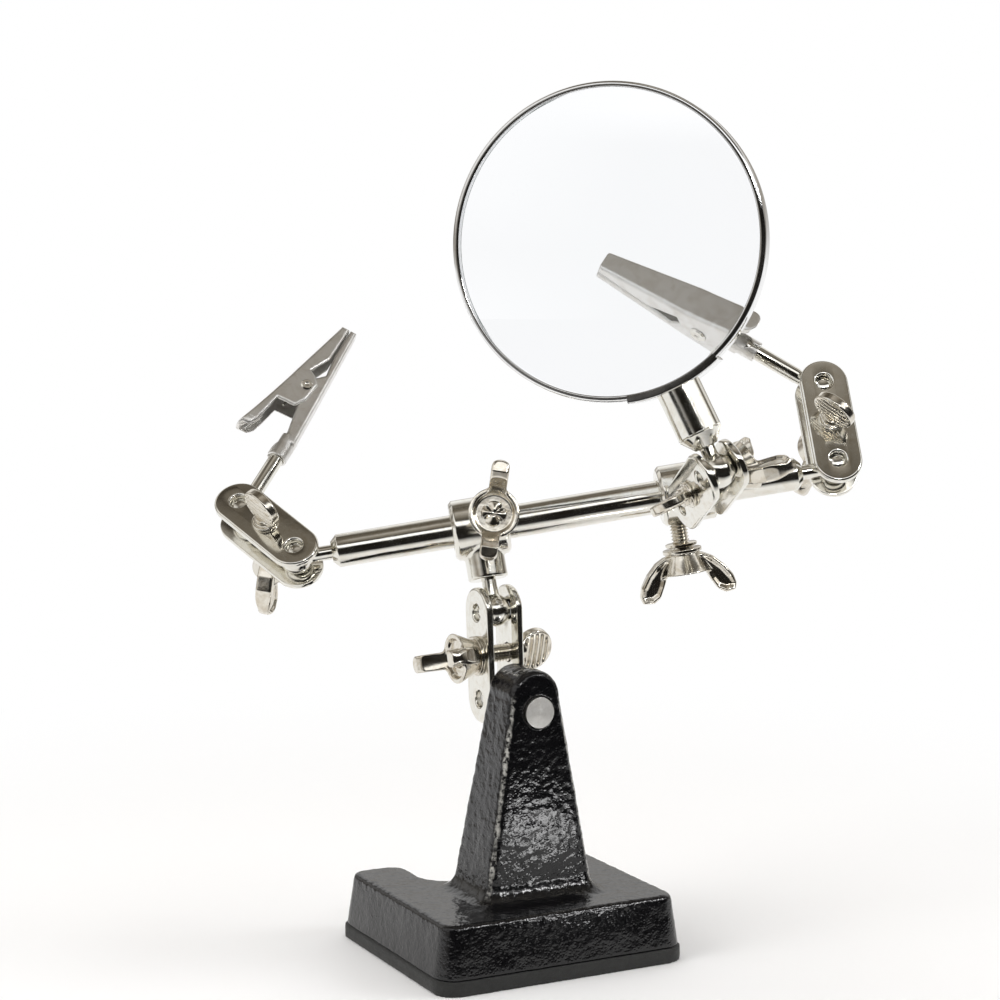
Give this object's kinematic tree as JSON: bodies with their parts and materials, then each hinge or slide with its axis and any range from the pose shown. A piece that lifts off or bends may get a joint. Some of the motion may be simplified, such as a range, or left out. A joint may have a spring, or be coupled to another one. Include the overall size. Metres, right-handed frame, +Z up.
{
  "type": "helping hands clamp",
  "caption": "Bench holding stand: cast base, pinch-plate ball joints, a sliding cross bar, sprung jaw clips at its ends and a round magnifying lens, every joint posable.",
  "frame": {"origin": "centre of the base footprint on its resting face", "axes": "+X to the right along the front edge of the base, +Y to the back of the base, +Z up"},
  "size_m": [0.1362, 0.1119, 0.1847],
  "materials": {
    "black_paint": "thick glossy black paint over a rough sand casting",
    "foam": "dense black foam rubber",
    "nickel": "bright nickel plate, slightly warm, with fine handling marks",
    "pin_steel": "turned end face",
    "clip_nickel": "nickel-plated pressed sheet",
    "spring_steel": "plain spring wire",
    "rim_chrome": "polished chrome plate",
    "glass": "polished, with a greenish ground edge"
  },
  "bodies": {
    "base": {"base_casting": "black_paint", "base_pad": "foam"},
    "pin": {"base_pin": "pin_steel"},
    "base_clamp": {"base_clamp_left_plate": "nickel", "base_clamp_right_plate": "nickel", "base_clamp_thumb_screw": "nickel"},
    "base_wing_nut": {"base_clamp_wing_nut": "nickel"},
    "sleeve_ball": {"main_sleeve_ball": "nickel"},
    "sleeve": {"main_sleeve": "nickel"},
    "sleeve_wing_screw": {"main_sleeve_wing_screw": "nickel"},
    "bar": {"cross_bar": "nickel"},
    "left_ball": {"bar_left_ball": "nickel"},
    "left_clamp": {"left_clamp_upper_plate": "nickel", "left_clamp_lower_plate": "nickel", "left_clamp_thumb_screw": "nickel"},
    "left_wing_nut": {"left_clamp_wing_nut": "nickel"},
    "left_clip_ball": {"left_clip_stud": "clip_nickel"},
    "left_clip": {"left_clip_body": "clip_nickel", "left_clip_rivet": "clip_nickel", "left_clip_spring": "spring_steel"},
    "left_jaw": {"left_clip_jaw": "clip_nickel"},
    "right_ball": {"bar_right_ball": "nickel"},
    "right_clamp": {"right_clamp_near_plate": "nickel", "right_clamp_far_plate": "nickel", "right_clamp_thumb_screw": "nickel"},
    "right_wing_nut": {"right_clamp_wing_nut": "nickel"},
    "right_clip_ball": {"right_clip_stud": "clip_nickel"},
    "right_clip": {"right_clip_body": "clip_nickel", "right_clip_rivet": "clip_nickel", "right_clip_spring": "spring_steel"},
    "right_jaw": {"right_clip_jaw": "clip_nickel"},
    "lens_sleeve": {"lens_sleeve": "nickel"},
    "lens_wing_screw": {"lens_sleeve_wing_screw": "nickel"},
    "lens_sleeve_ball": {"lens_sleeve_ball": "nickel"},
    "lens_clamp": {"lens_clamp_left_plate": "nickel", "lens_clamp_right_plate": "nickel", "lens_clamp_thumb_screw": "nickel"},
    "lens_wing_nut": {"lens_clamp_wing_nut": "nickel"},
    "lens_ball": {"lens_ball": "nickel"},
    "lens": {"lens_socket": "nickel", "lens_saddle": "rim_chrome", "lens_rim": "rim_chrome", "lens_glass": "glass"}
  },
  "joints": [
    {"name": "pin_turn", "type": "hinge", "parent": "base", "child": "pin", "pos_m": [0.0009, 0.008, 0.0536], "axis": [0, 1, 0], "range_deg": [-20, 20]},
    {"name": "base_clamp_swing", "type": "hinge", "parent": "pin", "child": "base_clamp", "pos_m": [0.0009, 0.008, 0.0536], "axis": [0.9994, 0, 0.0349], "range_deg": [-25, 12]},
    {"name": "base_wing_nut_turn", "type": "hinge", "parent": "base_clamp", "child": "base_wing_nut", "pos_m": [0.00057, 0.008, 0.06309], "axis": [-0.9994, 0, -0.0349], "continuous": true},
    {"name": "sleeve_swing", "type": "hinge", "parent": "base_clamp", "child": "sleeve_ball", "pos_m": [0.00024, 0.008, 0.07259], "axis": [0.9994, 0, 0.0349], "range_deg": [-25, 25]},
    {"name": "sleeve_turn", "type": "hinge", "parent": "sleeve_ball", "child": "sleeve", "pos_m": [0.00024, 0.008, 0.07259], "axis": [-0.0332, 0.309, 0.9505], "range_deg": [-35, 35]},
    {"name": "sleeve_wing_screw_turn", "type": "hinge", "parent": "sleeve", "child": "sleeve_wing_screw", "pos_m": [0.00216, 0.01263, 0.09062], "axis": [-0.4184, -0.868, 0.2676], "continuous": true},
    {"name": "bar_slide", "type": "slide", "parent": "sleeve", "child": "bar", "axis": [0.9077, -0.3888, 0.1581], "range_m": [-0.008, 0.018]},
    {"name": "left_ball_turn", "type": "hinge", "parent": "bar", "child": "left_ball", "pos_m": [-0.03687, 0.02935, 0.08382], "axis": [0.9077, -0.3888, 0.1581], "range_deg": [-45, 45]},
    {"name": "left_clamp_swing", "type": "hinge", "parent": "left_ball", "child": "left_clamp", "pos_m": [-0.03687, 0.02935, 0.08382], "axis": [-0.395, -0.5499, 0.7359], "range_deg": [-20, 40]},
    {"name": "left_wing_nut_turn", "type": "hinge", "parent": "left_clamp", "child": "left_wing_nut", "pos_m": [-0.0401, 0.03725, 0.08798], "axis": [0.395, 0.5499, -0.7359], "continuous": true},
    {"name": "left_clip_swing", "type": "hinge", "parent": "left_clamp", "child": "left_clip_ball", "pos_m": [-0.04334, 0.04515, 0.09215], "axis": [-0.395, -0.5499, 0.7359], "range_deg": [-20, 40]},
    {"name": "left_clip_turn", "type": "hinge", "parent": "left_clip_ball", "child": "left_clip", "pos_m": [-0.04334, 0.04515, 0.09215], "axis": [0.6493, 0.3631, 0.6683], "range_deg": [-90, 90]},
    {"name": "left_clip_open", "type": "hinge", "parent": "left_clip", "child": "left_jaw", "pos_m": [-0.02197, 0.05957, 0.11742], "axis": [-0.17, -0.7871, 0.5929], "range_deg": [0, 20], "stiffness_Nm_per_rad": 0.12, "springref_deg": -20.05},
    {"name": "right_ball_turn", "type": "hinge", "parent": "bar", "child": "right_ball", "pos_m": [0.07151, -0.01708, 0.10269], "axis": [0.9077, -0.3888, 0.1581], "range_deg": [-30, 20]},
    {"name": "right_clamp_swing", "type": "hinge", "parent": "right_ball", "child": "right_clamp", "pos_m": [0.07151, -0.01708, 0.10269], "axis": [-0.3649, -0.7717, 0.5208], "range_deg": [-30, 18]},
    {"name": "right_wing_nut_turn", "type": "hinge", "parent": "right_clamp", "child": "right_wing_nut", "pos_m": [0.07286, -0.01226, 0.11077], "axis": [0.3649, 0.7717, -0.5208], "continuous": true},
    {"name": "right_clip_swing", "type": "hinge", "parent": "right_clamp", "child": "right_clip_ball", "pos_m": [0.0742, -0.00745, 0.11885], "axis": [-0.3649, -0.7717, 0.5208], "range_deg": [-30, 18]},
    {"name": "right_clip_turn", "type": "hinge", "parent": "right_clip_ball", "child": "right_clip", "pos_m": [0.0742, -0.00745, 0.11885], "axis": [-0.7012, 0.5061, 0.5021], "range_deg": [-90, 90]},
    {"name": "right_clip_open", "type": "hinge", "parent": "right_clip", "child": "right_jaw", "pos_m": [0.04823, 0.0085, 0.13819], "axis": [0.6592, 0.1921, 0.727], "range_deg": [0, 20], "stiffness_Nm_per_rad": 0.12, "springref_deg": -20.05},
    {"name": "lens_slide", "type": "slide", "parent": "bar", "child": "lens_sleeve", "axis": [0.9077, -0.3888, 0.1581], "range_m": [-0.008, 0.012]},
    {"name": "lens_wing_screw_turn", "type": "hinge", "parent": "lens_sleeve", "child": "lens_wing_screw", "pos_m": [0.03865, -0.003, 0.09697], "axis": [0.1269, -0.1049, -0.9864], "continuous": true},
    {"name": "lens_sleeve_ball_turn", "type": "hinge", "parent": "lens_sleeve", "child": "lens_sleeve_ball", "pos_m": [0.03379, -0.02102, 0.09826], "axis": [-0.4001, -0.9153, 0.0459], "range_deg": [-25, 20]},
    {"name": "lens_clamp_swing", "type": "hinge", "parent": "lens_sleeve_ball", "child": "lens_clamp", "pos_m": [0.03379, -0.02102, 0.09826], "axis": [-0.9085, 0.1331, -0.3962], "range_deg": [-30, 10]},
    {"name": "lens_wing_nut_turn", "type": "hinge", "parent": "lens_clamp", "child": "lens_wing_nut", "pos_m": [0.03094, -0.02927, 0.10203], "axis": [0.9085, -0.1331, 0.3962], "continuous": true},
    {"name": "lens_swing", "type": "hinge", "parent": "lens_clamp", "child": "lens_ball", "pos_m": [0.02809, -0.03751, 0.10579], "axis": [-0.9085, 0.1331, -0.3962], "range_deg": [-25, 12]},
    {"name": "lens_turn", "type": "hinge", "parent": "lens_ball", "child": "lens", "pos_m": [0.02809, -0.03751, 0.10579], "axis": [-0.292, 0.355, 0.8881], "range_deg": [-40, 40]}
  ]
}
